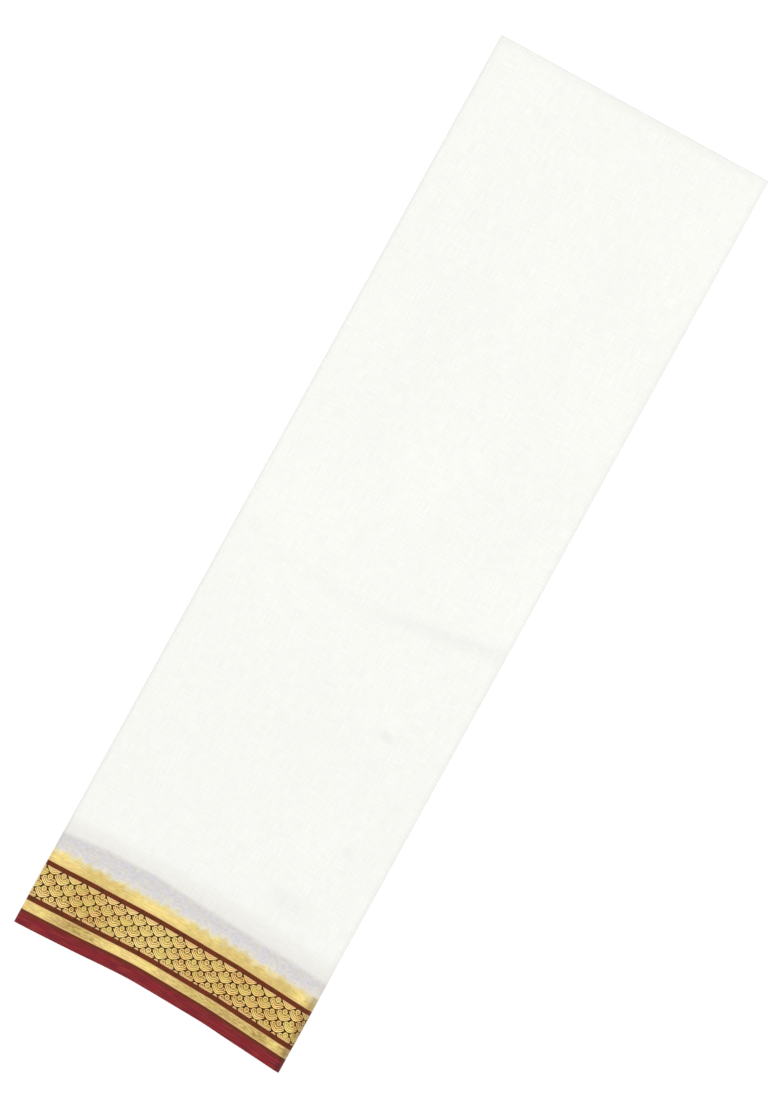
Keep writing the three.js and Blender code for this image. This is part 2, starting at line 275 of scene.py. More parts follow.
class Finish:
    """A material while it is made, with the places that its patterns go by."""

    def __init__(self, name, roughness, metallic=0.0, sheen=0.0, specular=0.5):
        self.material = bpy.data.materials.new(name)
        self.material.use_nodes = True
        self.tree = self.material.node_tree
        self.shader = self.tree.nodes["Principled BSDF"]
        for socket, value in (("Roughness", roughness), ("Metallic", metallic),
                              ("Specular IOR Level", specular), ("Sheen Weight", sheen),
                              ("Sheen Roughness", 0.4)):
            self.shader.inputs[socket].default_value = value

    def add(self, kind, *values, **settings):
        """Adds a node to this material."""
        return add_node(self.tree, kind, *values, **settings)

    @cached_property
    def weave(self):
        """The weave's own map, in metres."""
        return self.add("ShaderNodeUVMap", uv_map="weave")

    @cached_property
    def up(self):
        """The distance up from the selvedge, in metres."""
        return self.add(SPLIT, self.weave, give=1)

    @cached_property
    def spot(self):
        """Object coordinates."""
        return self.add(COORDINATES, give=OBJECT_PLACE)

    @cached_property
    def sideways(self):
        """The Object coordinate across the strip."""
        return self.add(SPLIT, self.spot)

    @cached_property
    def across(self):
        """The place across the strip, from 0 at the left to 1 at the right."""
        return self.add(RANGE, self.sideways, LEFT, RIGHT)

    @cached_property
    def ragged_height(self):
        """The height above the selvedge, moved up and down in clumps about 6 mm wide."""
        clumps = self.add(RANGE, self.streaks(170.0, 110.0), 0.32, 0.68, -RAGGED, RAGGED)
        return self.add(MATH, self.up, clumps, operation="ADD")

    def streaks(self, along, across, detail=2.0):
        """Noise drawn out along the weft, in waves per metre each way."""
        scaled = self.add(MAPPING, self.weave, None, None, (along, across, 1.0))
        return self.add(NOISE, scaled, 1.0, detail)

    def blended(self, body, signal, low, high, colour, most=1.0):
        """A colour with another mixed in, as a signal passes from one level to the other."""
        share = self.add(RANGE, signal, low, high, 0.0, most)
        return self.add(MIX, share, body, colour, data_type="RGBA")

    def shaded(self, colour, signal, low, high, first, last):
        """A colour made darker or lighter, as a signal passes from one level to the other."""
        share = self.add(RANGE, signal, low, high, first, last)
        return self.add(VECTOR, colour, share, operation="SCALE")

    def shade_round_fold(self, colour):
        """A border's colour with painted shade round the last fold, darker towards its edge."""
        return self.shaded(colour, self.sideways, RIGHT - FOLD_SHADE_START, RIGHT - FOLD_SHADE_END, 1.0, FOLD_SHADE_SHARE)

    def share_at(self, table):
        """A value by the height above the selvedge, from a table of heights in mm."""
        stops = grey_stops([(height / EDGE_REACH, value) for height, value in table])
        return self.add(RAMP, self.add(RANGE, self.up, 0.0, EDGE_REACH * MM), stops=stops)

    def zari_light(self, uneven, along, across, spread, depth):
        """Painted highlight: how far zari tips to the light, in patches about 8 mm wide, and thread
        by thread.
        """
        share = self.add(RAMP, self.across, stops=grey_stops(GLEAM))
        patch = self.add(RANGE, self.add(NOISE, self.spot, 120.0, 2.0), 0.3, 0.7, -uneven, uneven)
        share = self.add(MATH, share, patch, operation="ADD", use_clamp=True)
        grain = self.add(RANGE, self.streaks(along, across), 0.5 - spread, 0.5 + spread,
                         -depth, depth)
        return self.add(MATH, share, grain, operation="ADD", use_clamp=True)

    def done(self, colour, height, strength, distance):
        """Gives the shader its colour and the small relief of its threads."""
        self.tree.links.new(colour, self.shader.inputs["Base Color"])
        normal = self.add(BUMP, strength, distance, None, height)
        self.tree.links.new(normal, self.shader.inputs["Normal"])
        return self.material


# ---- Materials ----
def silk_ground(colours):
    """Plain-woven silk: a soft low sheen, and the border's back showing through beside it."""
    silk = Finish("plain_woven_silk_ground", 0.55, sheen=0.08, specular=0.2)
    # The border's back shows through as a lilac veil, cream at the teeth.
    reach = silk.add(RANGE, silk.ragged_height, VEIL_START, VEIL_LOW)
    veil = silk.add(RAMP, reach, stops=((0.0, "D6C58A"), (0.18, "D8D0B2"), (0.33, "D0CBBE"),
                                        (0.48, "CBC7C3"), (0.66, colours.show_through)))
    # The veil is a little bluer here and warmer there.
    cast = silk.blended("C6C3D4", silk.streaks(140.0, 260.0), 0.38, 0.62, "CDC9BB")
    veil = silk.add(MIX, 0.36, veil, cast, data_type="RGBA")
    # Threads of the back show through it here and there, 2 mm apart.
    veil = silk.shaded(veil, silk.streaks(420.0, 640.0), 0.35, 0.65, 0.95, 1.07)
    # It ends in a wavering line, and past that fades into the field.
    line = silk.add(RAMP, silk.across, stops=grey_stops(VEIL_LINE))
    line = silk.add(MATH, line, VEIL_HIGH - VEIL_LOW, operation="MULTIPLY")
    past = silk.add(MATH, silk.up, line, operation="SUBTRACT")
    fade = silk.add(RAMP, silk.add(RANGE, silk.up, VEIL_LOW, FIELD_PLAIN), stops=(
        (0.1, "DAD8D3"), (0.3, "DCDBD5"), (0.5, "DFDED9"), (0.7, "E1E2DD"), (0.95, colours.field)))
    veil = silk.blended(veil, past, VEIL_LOW - 1.3 * MM, VEIL_LOW + 1.2 * MM, fade)
    # Silk a shade brighter in the strip's upper half, in blotches about 50 mm wide.
    brighter = [min(1.0, part * 1.025) for part in colours.field]
    rise = silk.add(RANGE, silk.up, 90 * MM, 330 * MM, interpolation_type="SMOOTHSTEP")
    blotch = silk.add(RANGE, silk.streaks(18.0, 8.0), 0.35, 0.65, 0.3, 1.0)
    rise = silk.add(MATH, rise, blotch, operation="MULTIPLY")
    body = silk.add(MIX, rise, colours.field, brighter, data_type="RGBA")
    colour = silk.blended(veil, silk.up, FIELD_START, FIELD_PLAIN, body)
    # Threads lie 0.12 mm apart, too fine to show, so uneven ones are drawn 0.5 mm apart.
    cloth = silk.add(MATH, silk.streaks(2000.0, 90.0), silk.streaks(90.0, 2000.0),
                     operation="ADD")
    return silk.done(silk.shaded(colour, cloth, 0.8, 1.2, 0.965, 1.035), cloth, 0.3, SILK_THREAD)


def gold_zari(colours):
    """Gilt thread wound on silk: a satin glint in fine ribs, pinker where the silk shows."""
    zari = Finish("gold_zari_thread", 0.42, metallic=0.2)
    # Zari threads lie 0.3 mm apart, and are drawn as streaks 0.7 mm deep and 3 to 8 mm long.
    light = zari.zari_light(0.22, 300.0, 1400.0, 0.12, 0.35)
    # The broad band beside the teeth gets more painted highlight, as it tips a little more to the
    # light than the plain band.
    upper = zari.add(RANGE, zari.up, 38.5 * MM, 39.5 * MM, 0.0, 0.42)
    rest = zari.add(MATH, 1.0, light, operation="SUBTRACT")
    light = zari.add(MATH, rest, upper, light, operation="MULTIPLY_ADD")
    # Plain and bright gold are mixed by the painted highlight.
    body = zari.add(MIX, light, colours.gold, colours.bright_gold, data_type="RGBA")
    fine = zari.streaks(75.0, 1100.0, 3.0)
    body = zari.blended(body, fine, 0.5, 0.62, GREEN_GOLD, 0.6)
    body = zari.blended(body, fine, 0.48, 0.36, colours.pink_gold, 0.65)
    body = zari.add(MIX, zari.share_at(BAND_PINK), body, colours.pink_gold, data_type="RGBA")
    # The zari thins out over pale silk below the teeth, with a ragged edge.
    colour = zari.blended(body, zari.ragged_height, THIN_START, THIN_END, "DAD2B0")
    # Painted shade darkens the gold round the last fold.
    return zari.done(zari.shade_round_fold(colour), fine, 0.35, ZARI_THREAD)


def guard_weft(colours):
    """Brown silk guard line: a close twill, matt beside the zari."""
    silk = Finish("brown_twill_guard_silk", 0.7, specular=0.12)
    # The twill's lines are 0.4 mm apart, too fine to show, and are drawn 1.2 mm apart.
    turned = silk.add(MAPPING, silk.weave, None, (0.0, 0.0, 0.5))
    twill = silk.add("ShaderNodeTexWave", turned, 262.0, 3.0, give=1)
    body = silk.blended(colours.guard, twill, 0.3, 0.9, "6C361A", 0.7)
    mottle = silk.streaks(260.0, 420.0)
    body = silk.blended(body, mottle, 0.5, 0.66, "6E2416", 0.75)
    body = silk.blended(body, mottle, 0.48, 0.34, "452409", 0.7)
    return silk.done(body, twill, 0.3, SILK_THREAD)


def maroon_silk(colours):
    """Maroon plain-woven silk: low sheen, weft streaks, browner beside the gold band."""
    silk = Finish("maroon_plain_woven_silk", 0.6, specular=0.12)
    # Weft threads are 0.15 mm apart, and are drawn as streaks 0.8 mm deep.
    fine = silk.streaks(90.0, 1200.0, 3.0)
    body = silk.blended("6C1B26", fine, 0.4, 0.55, colours.maroon)
    body = silk.blended(body, fine, 0.53, 0.65, "8A3032")
    # Blotches about 8 mm wide look more crimson.
    body = silk.blended(body, silk.streaks(120.0, 180.0), 0.48, 0.64, "841A25", 0.5)
    body = silk.blended(body, silk.up, 5.8 * MM, 8.1 * MM, "5A2A0E")
    # Painted shade darkens the maroon round the last fold.
    return silk.done(silk.shade_round_fold(body), fine, 0.25, SILK_THREAD)


def lotus_ground(colours):
    """Brown silk that shows between the zari figures: matt, a little uneven."""
    silk = Finish("brown_brocade_ground", 0.7, specular=0.12)
    # Its threads are 0.15 mm apart, and are drawn as a mottle 2 to 3 mm wide.
    fine = silk.streaks(300.0, 500.0)
    body = silk.blended(colours.ground, fine, 0.4, 0.7, "663C14")
    return silk.done(body, fine, 0.3, SILK_THREAD)


def figured_zari(name, plain, bright, pink_gold):
    """Zari laid in long floats: a satin gilt, a little uneven from figure to figure."""
    zari = Finish(name, 0.42, metallic=0.2)
    light = zari.zari_light(0.4, 240.0, 700.0, 0.14, 0.3)
    # Plain and bright zari are mixed by the painted highlight.
    body = zari.add(MIX, light, plain, bright, data_type="RGBA")
    # Some buds look greener than others.
    body = zari.blended(body, zari.streaks(95.0, 130.0, 1.0), 0.46, 0.64, GREEN_GOLD, 0.5)
    # Threads are drawn 0.9 mm apart, coarser than they are, and pink silk shows between them.
    fine = zari.streaks(160.0, 1100.0)
    pinker = zari.add(RANGE, fine, 0.5, 0.62, 0.0, 0.45)
    pinker = zari.add(MATH, pinker, zari.share_at(FIGURE_PINK), operation="MAXIMUM")
    body = zari.add(MIX, pinker, body, pink_gold, data_type="RGBA")
    # Painted shade darkens the figures round the last fold.
    return zari.done(zari.shade_round_fold(body), fine, 0.35, ZARI_THREAD)


def white_acrylic(colours):
    """White acrylic sheet, lit from below so that the cloth casts hardly any shadow."""
    sheet = Finish("white_acrylic_sheet", 0.6, specular=0.1)
    cloud = sheet.add(NOISE, sheet.spot, 3.0)
    near_white = [part * 0.99 for part in colours.floor]
    colour = sheet.add(MIX, cloud, near_white, colours.floor, data_type="RGBA")
    sheet.tree.links.new(colour, sheet.shader.inputs["Base Color"])
    sheet.shader.inputs["Emission Color"].default_value = (1.0, 1.0, 1.0, 1.0)
    sheet.shader.inputs["Emission Strength"].default_value = 0.84
    return sheet.material


FINISHES = {}


def finish_of(name):
    """A material by its short name. All are made on the first call."""
    if not FINISHES:
        colours = bpy.context.scene.sari_colours
        pink = colours.pink_gold
        FINISHES.update(
            silk=silk_ground(colours),
            gold=gold_zari(colours),
            guard=guard_weft(colours),
            maroon=maroon_silk(colours),
            ground=lotus_ground(colours),
            motif=figured_zari("gold_zari_figure", colours.motif, colours.bright_motif, pink),
            stroke=figured_zari("pale_zari_stroke", colours.pale, colours.bright_pale, "DDB180"),
            heart=figured_zari("green_gold_zari_heart", "9F8634", "D6C462", pink),
            tooth=figured_zari("gold_zari_tooth", "CDB462", "E6D486", pink),
            acrylic=white_acrylic(colours),
        )
    return FINISHES[name]


# ---- The folded form ----
def smooth_step(value):
    """A smooth rise from 0 to 1, for arrays."""
    value = np.clip(value, 0, 1)
    return value * value * (3 - 2 * value)


def read_table(place, places, values):
    """Reads a table at a place, with its corners rounded off."""
    shifts = np.linspace(-0.035, 0.035, 7)
    return sum(np.interp(place + shift, places, values) for shift in shifts) / shifts.size


def place_across(x):
    """The place across the strip, from 0 at the left to 1 at the right."""
    return np.clip((x - LEFT) / STRIP_WIDTH, 0, 1)


def along_strip(x, up):
    """The place along the strip, for a distance up from the selvedge."""
    across = place_across(x)
    straightness = smooth_step((up - BORDER) / (STRIP_LENGTH / 2 - BORDER))
    bow = read_table(across, SELVEDGE_ACROSS, SELVEDGE_RISE) * MM * (1 - straightness)
    share = np.interp(up / MM, PULL_UP, PULL_SHARE)
    pull = read_table(across, PULL_ACROSS, PULL) * MM * share
    return LEFT_CORNER + bow + pull + up


def top_relief(x, up, sizes):
    """How far the top panel lies below its level, for a place on it."""
    across = place_across(x)
    height = up / MM
    from_crease = height - read_table(across, CREASE_ACROSS, CREASE_UP)
    spread = np.where(from_crease > 0, CREASE_ABOVE, CREASE_BELOW)
    depth = np.interp(across, CREASE_ACROSS, CREASE_DEPTH) * np.exp(-(from_crease / spread) ** 2)
    for place, rise, reach_x, reach_y, deep in HOLLOWS:
        sideways = (across - place) * STRIP_WIDTH / MM / reach_x
        upwards = (height - rise) / np.where(height > rise, HOLLOW_DRAWN * reach_y, reach_y)
        depth = depth + deep * np.exp(-2.5 * (sideways ** 2 + upwards ** 2))
    waves = np.sin(height / 17.0 + 4 * across) + np.sin(height / 31.0 + 1)
    depth = depth + UNEVEN * (2 + waves)
    lower_end = 1 - smooth_step(up / LOWER_SINK)
    upper_end = 1 - smooth_step((STRIP_LENGTH - up) / UPPER_SINK)
    return depth * MM * sizes.crease + sizes.settle * (lower_end ** 2 + 0.6 * upper_end ** 2)


def half_round(reach, half_height, steps):
    """Points of a half ellipse from its bottom round to its top, its ends left out."""
    angle = np.linspace(-math.pi / 2, math.pi / 2, steps + 2)[1:-1]
    return reach * np.cos(angle), half_height * np.sin(angle)


def outer_route(depth, sizes):
    """The outermost stretch's section at a depth inside its outer face: x and z by line."""
    last_x = RIGHT - sizes.last_fold
    upper_x = LEFT + sizes.upper_fold
    under_x = np.linspace(LEFT + sizes.loose_end, last_x, UNDER_LINES)
    right_x, right_z = half_round(sizes.last_fold - depth, MIDDLE - depth, LAST_FOLD_LINES)
    top_x = np.linspace(last_x, upper_x, TOP_LINES)
    left_x, left_z = half_round(sizes.upper_fold - depth, TOP / 4 - depth, UPPER_FOLD_LINES)
    turned_x = np.linspace(upper_x, upper_x + sizes.turn_in, TURNED_LINES)
    x = np.concatenate([under_x, last_x + right_x, top_x, upper_x - left_x, turned_x])
    z = np.concatenate([
        np.full(UNDER_LINES, depth),
        MIDDLE + right_z,
        np.full(TOP_LINES, TOP - depth),
        TOP * 0.75 - left_z,
        np.full(TURNED_LINES, MIDDLE + depth),
    ])
    return x, z


def stretch_along(x, z):
    """The distance along a section, from its first point."""
    steps = np.hypot(np.diff(x), np.diff(z))
    return np.concatenate([[0.0], np.cumsum(steps)])


# ---- Meshes ----
def new_piece(name, mesh):
    """An object made of a mesh, in the scene."""
    piece = bpy.data.objects.new(name, mesh)
    bpy.context.scene.collection.objects.link(piece)
    return piece


def round_off(mesh, degrees):
    """Shades a mesh smoothly, except along edges sharper than an angle."""
    mesh.polygons.foreach_set("use_smooth", np.ones(len(mesh.polygons), dtype=bool))
    mesh.set_sharp_from_angle(angle=math.radians(degrees))


def grid_faces(lines, points):
    """The numbers of a grid's points, and the faces between them, facing outwards."""
    index = np.arange(lines * points).reshape(lines, points)
    corners = (index[:-1, :-1], index[:-1, 1:], index[1:, 1:], index[1:, :-1])
    return index, np.stack([corner.ravel() for corner in corners], 1)


def map_weave(mesh, along, up):
    """Gives a mesh of one or two grids its weave's map, by the places of its lines and points."""
    grid = np.stack(np.broadcast_arrays(along[:, None], up[None, :]), -1).reshape(-1, 2)
    layer = mesh.uv_layers.new(name="weave")
    corners = np.empty(len(mesh.loops), dtype=np.int32)
    mesh.loops.foreach_get("vertex_index", corners)
    layer.data.foreach_set("uv", grid[corners % len(grid)].astype(np.float32).ravel())


def sheet_mesh(name, outer, inner, along, up, finishes, finish_at=None):
    """A closed sheet between two faces, each an array of lines by points.

    Where it has several finishes, finish_at gives the number of one by the distance up.
    """
    lines, points = outer.shape[:2]
    positions = np.concatenate([outer.reshape(-1, 3), inner.reshape(-1, 3)])
    index, front_faces = grid_faces(lines, points)
    back = lines * points
    back_faces = front_faces[:, [0, 3, 2, 1]] + back

    def rim(edge):
        """Faces that join an edge of the front to the same edge of the back."""
        return np.stack([edge[:-1], edge[1:], edge[1:] + back, edge[:-1] + back], 1)

    rims = [rim(index[:, 0]), rim(index[::-1, -1]), rim(index[0, ::-1]), rim(index[-1])]
    faces = np.concatenate([front_faces, back_faces, *rims])
    mesh = bpy.data.meshes.new(name)
    mesh.from_pydata(positions.tolist(), [], faces.tolist())
    map_weave(mesh, along, up)
    for finish in finishes:
        mesh.materials.append(finish_of(finish))
    if finish_at is not None:
        kinds = np.array([finish_at(height) for height in (up[:-1] + up[1:]) / 2])
        front = np.tile(kinds, lines - 1)
        first, last = np.full(lines - 1, kinds[0]), np.full(lines - 1, kinds[-1])
        numbers = np.concatenate([front, front, first, last, kinds[::-1], kinds])
        mesh.polygons.foreach_set("material_index", numbers.astype(np.int32))
    round_off(mesh, 50)
    mesh.update()
    return new_piece(name, mesh)


def lay_out(route, up, sizes):
    """Places of a section's lines at distances up the strip, an array of lines by points."""
    x, z = route
    across, height = np.meshgrid(x, up, indexing="ij")
    level = np.broadcast_to(z[:, None], across.shape)
    on_top = smooth_step((level - MIDDLE) / MIDDLE) ** 2
    level = level - on_top * top_relief(across, height, sizes)
    return np.stack([across, along_strip(across, height), level], -1)


def field_lines():
    """Distances up the strip at which the field's mesh has points, closest at its crease."""
    spans = ((46.7, 60, 2.2), (60, 100, 2.6), (100, 112, 4), (112, 136, 2.2), (136, 180, 5.5),
             (180, 206, 2.0), (206, 236, 4), (236, 282, 1.6), (282, 330, 5), (330, 556, 9))
    lines = []
    for start, end, step in spans:
        count = max(1, round((end - start) / step))
        lines.extend(np.linspace(start, end, count, endpoint=False))
    lines.extend((556, 560, 563, 565.5, 567.5, 569, 569.7))
    return np.array(lines) * MM


def wrap_sheet(name, up, sizes, finish):
    """One zone of the outermost stretch's outer ply."""
    route = outer_route(0.0, sizes)
    outer = lay_out(route, up, sizes)
    inner = lay_out(outer_route(sizes.ply, sizes), up, sizes)
    return sheet_mesh(name, outer, inner, stretch_along(*route), up, [finish])


def field_sheet(sizes):
    """The field: the outer ply, its rounded end, and the start of the ply folded under it."""
    up = field_lines()
    back = np.array(BACK_LINES) * MM
    turn_angle = np.linspace(0, math.pi, 7)[1:-1]
    half = sizes.ply + sizes.ply_gap / 2

    def face(inside):
        """One face of the folded ply: its outer face, or its inner one."""
        near = half - inside
        parts = [lay_out(outer_route(half - near, sizes), up, sizes)]
        for angle in turn_angle:
            depth = half - near * math.cos(angle)
            row = lay_out(outer_route(depth, sizes), up[-1:], sizes)
            row[..., 1] += near * math.sin(angle)
            parts.append(row)
        parts.append(lay_out(outer_route(half + near, sizes), back, sizes))
        return np.concatenate(parts, 1)

    beyond = up[-1] + math.pi * half + (back[0] - back)
    heights = np.concatenate([up, up[-1] + turn_angle * half, beyond])
    along = stretch_along(*outer_route(0.0, sizes))
    return sheet_mesh("silk_field_cloth", face(0.0), face(sizes.ply), along, heights, ["silk"])


# ---- Hidden panels ----
def panel_order():
    """The panels in the order in which the cloth runs through them, from the loose end below."""
    order, panel = [1], 1
    while len(order) < PANELS:
        if len(order) % 2:
            panel = PANELS + 1 - panel
        else:
            low, high = left_nest(panel)[:2]
            panel = low + high - panel
        order.append(panel)
    return order


def left_nest(panel):
    """The nest of folds at the left that a panel belongs to, or None."""
    return next((nest for nest in LEFT_NESTS if nest[0] <= panel <= nest[1]), None)


def hidden_route(offset, sizes):
    """The section of the cloth through the hidden panels, at an offset to its outward side."""
    step = (TOP - 2 * PANEL_DEPTH - CREASE_ROOM) / (PANELS - 2)

    def level(panel):
        """The height of the middle of a panel."""
        return PANEL_DEPTH + (panel - 1.5) * step

    last_x = RIGHT - sizes.last_fold
    xs, zs, panels = [], [], []
    order = panel_order()[2:]
    for place, panel in enumerate(order):
        rightwards = place % 2 == 0
        nest = left_nest(panel)
        left_x = LEFT + (nest[2] + nest[3] if nest else LAST_END) * MM
        start = left_x + (sizes.turn_in + TURN_GAP if place == 0 else 0)
        line = np.linspace(start, last_x, PANEL_LINES)
        z = level(panel) + (-offset if rightwards else offset)
        xs.append(line if rightwards else line[::-1])
        zs.append(np.full(PANEL_LINES, z))
        panels.append(np.full(PANEL_LINES, float(place)))
        if place == len(order) - 1:
            break
        next_z = level(order[place + 1]) + (offset if rightwards else -offset)
        half_height = (next_z - z) / 2
        if rightwards:
            full = (level(PANELS) - level(1)) / 2
            reach = (sizes.last_fold - FOLD_ROOM) * abs(half_height) / full
            direction, base = 1, last_x
        else:
            full = (level(nest[1]) - level(nest[0])) / 2 + 0.5 * step
            reach = nest[3] * MM * abs(half_height) / full
            direction, base = -1, left_x
        out, rise = half_round(reach, half_height, FOLD_LINES)
        xs.append(base + direction * out)
        zs.append(z + half_height + rise)
        panels.append(np.linspace(place, place + 1, FOLD_LINES + 2)[1:-1])
    return np.concatenate(xs), np.concatenate(zs), np.concatenate(panels)


def edge_wander(runs, seed, low, high):
    """How far the cloth's edge lies inside the outline, changing slowly as the cloth runs."""
    rng = np.random.default_rng(seed)
    knots = rng.uniform(low, high, PANELS + 2)
    return np.interp(runs, np.arange(PANELS + 2) - 0.5, knots) * MM


def hidden_sheet(sizes):
    """The other panels: one double-ply sheet that runs through every fold inside the stack."""
    up = np.array(HIDDEN_UP) * MM
    turn_angle = np.linspace(0, math.pi, 5)[1:-1]
    # Up the front ply, round the halved end, and back down the other ply.
    cosines = np.concatenate([np.ones(up.size), np.cos(turn_angle), -np.ones(up.size)])
    sines = np.concatenate([np.zeros(up.size), np.sin(turn_angle), np.zeros(up.size)])
    heights = np.concatenate([up, np.full(turn_angle.size, up[-1]), up[::-1]])

    def face(near):
        """One face of the double ply, at its distance from the panel's middle."""
        parts = []
        for cosine, sine, height in zip(cosines, sines, heights):
            x, z, runs = hidden_route(near * cosine, sizes)
            # The two plies' selvedges don't quite meet.
            inset_low = edge_wander(runs + (0.37 if cosine < 0 else 0), 3, 0.4, 1.9)
            inset_high = edge_wander(runs, 8, 0.6, 1.9)
            share = height / STRIP_LENGTH
            y = along_strip(x, np.full(x.size, height))
            y = y + inset_low * (1 - share) - inset_high * share + near * sine
            parts.append(np.stack([x, y, z], -1))
        return np.stack(parts, 1)

    finishes = ["silk", "maroon", "gold", "guard", "ground"]

    def finish_at(height):
        """The number of the finish at a distance up from the selvedge."""
        for _, _, finish, _, end in ZONES:
            if height < end * MM:
                return finishes.index(finish)
        return 0

    outer, inner = face(HIDDEN_GAP / 2 + HIDDEN_PLY), face(HIDDEN_GAP / 2)
    x, z, _ = hidden_route(0.0, sizes)
    along = stretch_along(x, z)
    folds = sheet_mesh("folded_panels", outer, inner, along, heights, finishes, finish_at)
    return folds, float(along[-1])


# ---- Figures laid on the cloth by nodes ----
def guide_cloth(sizes):
    """The border's outer face alone, with a map from 0 to 1 each way, for laying figures on."""
    up = np.linspace(0, EDGE_REACH, 26) * MM
    x, z = outer_route(0.0, sizes)
    along = stretch_along(x, z)
    face = lay_out((x, z), up, sizes)
    _, faces = grid_faces(*face.shape[:2])
    mesh = bpy.data.meshes.new("border_guide")
    mesh.from_pydata(face.reshape(-1, 3).tolist(), [], faces.tolist())
    drift = read_table(place_across(x), DRIFT_ACROSS, DRIFT) * MM
    flat = along + drift * smooth_step((z - MIDDLE) / MIDDLE)
    map_weave(mesh, flat / along[-1], up / up[-1])
    mesh.update()
    return new_piece("border_guide", mesh), float(along[-1]), float(up[-1])


def figure_tree():
    """Nodes that repeat a figure in rows, wrap the rows on the cloth and give them a finish."""
    tree = bpy.data.node_groups.new("Figures on cloth", "GeometryNodeTree")
    tree.interface.new_socket(name="Geometry", in_out="INPUT", socket_type="NodeSocketGeometry")
    tree.interface.new_socket(name="Geometry", in_out="OUTPUT", socket_type="NodeSocketGeometry")
    kinds = (("Figure", "Object"), ("Cloth", "Object"), ("Columns", "Int"), ("Rows", "Int"),
             ("Pitch", "Float"), ("Rise", "Float"), ("First column", "Float"),
             ("First row", "Float"), ("Cloth length", "Float"), ("Cloth height", "Float"),
             ("Spread", "Float"), ("Jitter", "Float"), ("Seed", "Int"), ("Finish", "Material"))
    for name, kind in kinds:
        tree.interface.new_socket(name=name, in_out="INPUT", socket_type="NodeSocket" + kind)
    given = tree.nodes.new("NodeGroupInput").outputs
    add = partial(add_node, tree)
    random = "FunctionNodeRandomValue"
    index = add("GeometryNodeInputIndex")
    row = add(MATH, add(MATH, index, given["Columns"], operation="DIVIDE"), operation="FLOOR")
    column = add(MATH, index, given["Columns"], operation="MODULO")
    x = add(MATH, column, given["Pitch"], given["First column"], operation="MULTIPLY_ADD")
    aside = add(random, -1.0, 1.0, None, given["Seed"], data_type="FLOAT")
    x = add(MATH, aside, given["Jitter"], x, operation="MULTIPLY_ADD")
    y = add(MATH, row, given["Rise"], given["First row"], operation="MULTIPLY_ADD")
    count = add(MATH, given["Columns"], given["Rows"], operation="MULTIPLY")
    points = add("GeometryNodePoints", count, add(JOIN, x, y))
    figure = add("GeometryNodeObjectInfo", given["Figure"], give=4)
    low = add(MATH, 1.0, given["Spread"], operation="SUBTRACT")
    high = add(MATH, 1.0, given["Spread"], operation="ADD")
    size = add(random, low, high, None, given["Seed"], data_type="FLOAT")
    laid = add("GeometryNodeInstanceOnPoints", points, None, figure, None, None, None,
               add(JOIN, size, size, 1.0))
    real = add("GeometryNodeRealizeInstances", laid)
    # Each point's place on the flat cloth is looked up on the folded cloth's map.
    cloth = add("GeometryNodeObjectInfo", given["Cloth"], give=4)
    position = add("GeometryNodeInputPosition")
    along, up, height = [add(SPLIT, position, give=place) for place in range(3)]
    share = add(JOIN, add(MATH, along, given["Cloth length"], operation="DIVIDE"),
                add(MATH, up, given["Cloth height"], operation="DIVIDE"))
    weave = add("GeometryNodeInputNamedAttribute", "weave", data_type="FLOAT_VECTOR")
    sample = "GeometryNodeSampleUVSurface"
    normal = add("GeometryNodeInputNormal")
    base = add(sample, cloth, position, weave, share, data_type="FLOAT_VECTOR")
    outward = add(sample, cloth, normal, weave, share, data_type="FLOAT_VECTOR")
    mapped = add("GeometryNodeStoreNamedAttribute", real, None, "weave", add(JOIN, along, up),
                 data_type="FLOAT2", domain="CORNER")
    missing = add("FunctionNodeBooleanMath", base.node.outputs["Is Valid"], operation="NOT")
    kept = add("GeometryNodeDeleteGeometry", mapped, missing)
    lift = add(VECTOR, outward, height, operation="SCALE")
    target = add(VECTOR, base, lift, operation="ADD")
    moved = add("GeometryNodeSetPosition", kept, None, target)
    whole = add("GeometryNodeRealizeInstances", moved)
    finished = add("GeometryNodeSetMaterial", whole, None, given["Finish"])
    add("NodeGroupOutput", finished)
    return tree


def lay_figures(tree, figure, finish, **inputs):
    """Runs the figure nodes once and returns the result as a plain mesh."""
    host = new_piece("host", bpy.data.meshes.new("host"))
    modifier = host.modifiers.new("Figures", "NODES")
    modifier.node_group = tree
    values = {"Figure": figure, "Finish": finish, **inputs}
    for item in tree.interface.items_tree:
        if item.in_out == "INPUT" and item.name in values:
            modifier[item.identifier] = values[item.name]
    graph = bpy.context.evaluated_depsgraph_get()
    mesh = bpy.data.meshes.new_from_object(host.evaluated_get(graph))
    host.modifiers.remove(modifier)
    bpy.data.objects.remove(host)
    return mesh


def join_meshes(name, meshes, finish):
    """One object from several meshes that share a finish."""
    shape = bmesh.new()
    for mesh in meshes:
        shape.from_mesh(mesh)
        bpy.data.meshes.remove(mesh)
    bmesh.ops.recalc_face_normals(shape, faces=shape.faces)
    # The cloth's own weight presses the zari of the underside flat.
    for vertex in shape.verts:
        if vertex.co.z < 0:
            vertex.co.z *= PRESSED
    joined = bpy.data.meshes.new(name)
    shape.to_mesh(joined)
    shape.free()
    joined.materials.clear()
    joined.materials.append(finish)
    round_off(joined, 60)
    return new_piece(name, joined)


# ---- Figures: sizes in mm, drawn flat ----
PRESSED = 0.1
# A figure's foot lies this far inside the cloth.
FOOT = -0.02

# A lotus bud, with heights from the level of its petals' tips: its round bud, and how far the
# whole reaches up and down.
BUD_RISE, BUD_RADIUS = 2.25, 1.6
BUD_TOP, BOWL_DEPTH = 3.9, 3.3
BUD_HALF_WIDTH = 4.6 * MM
# The bowl under it: half width, lowest point, rise to its tips, steepness and steps.
BOWL = (4.35, -3.06, 3.06, 1.62, 18)
# Half of a lotus bud's upper outline: place across and height.
PETAL_ACROSS = (0.0, 0.5, 1.0, 1.6, 2.2, 2.8, 3.4, 3.9, 4.4)
PETAL_TOP = (1.2, 1.1, 1.05, 1.85, 2.15, 1.88, 1.38, 0.9, 0.4)
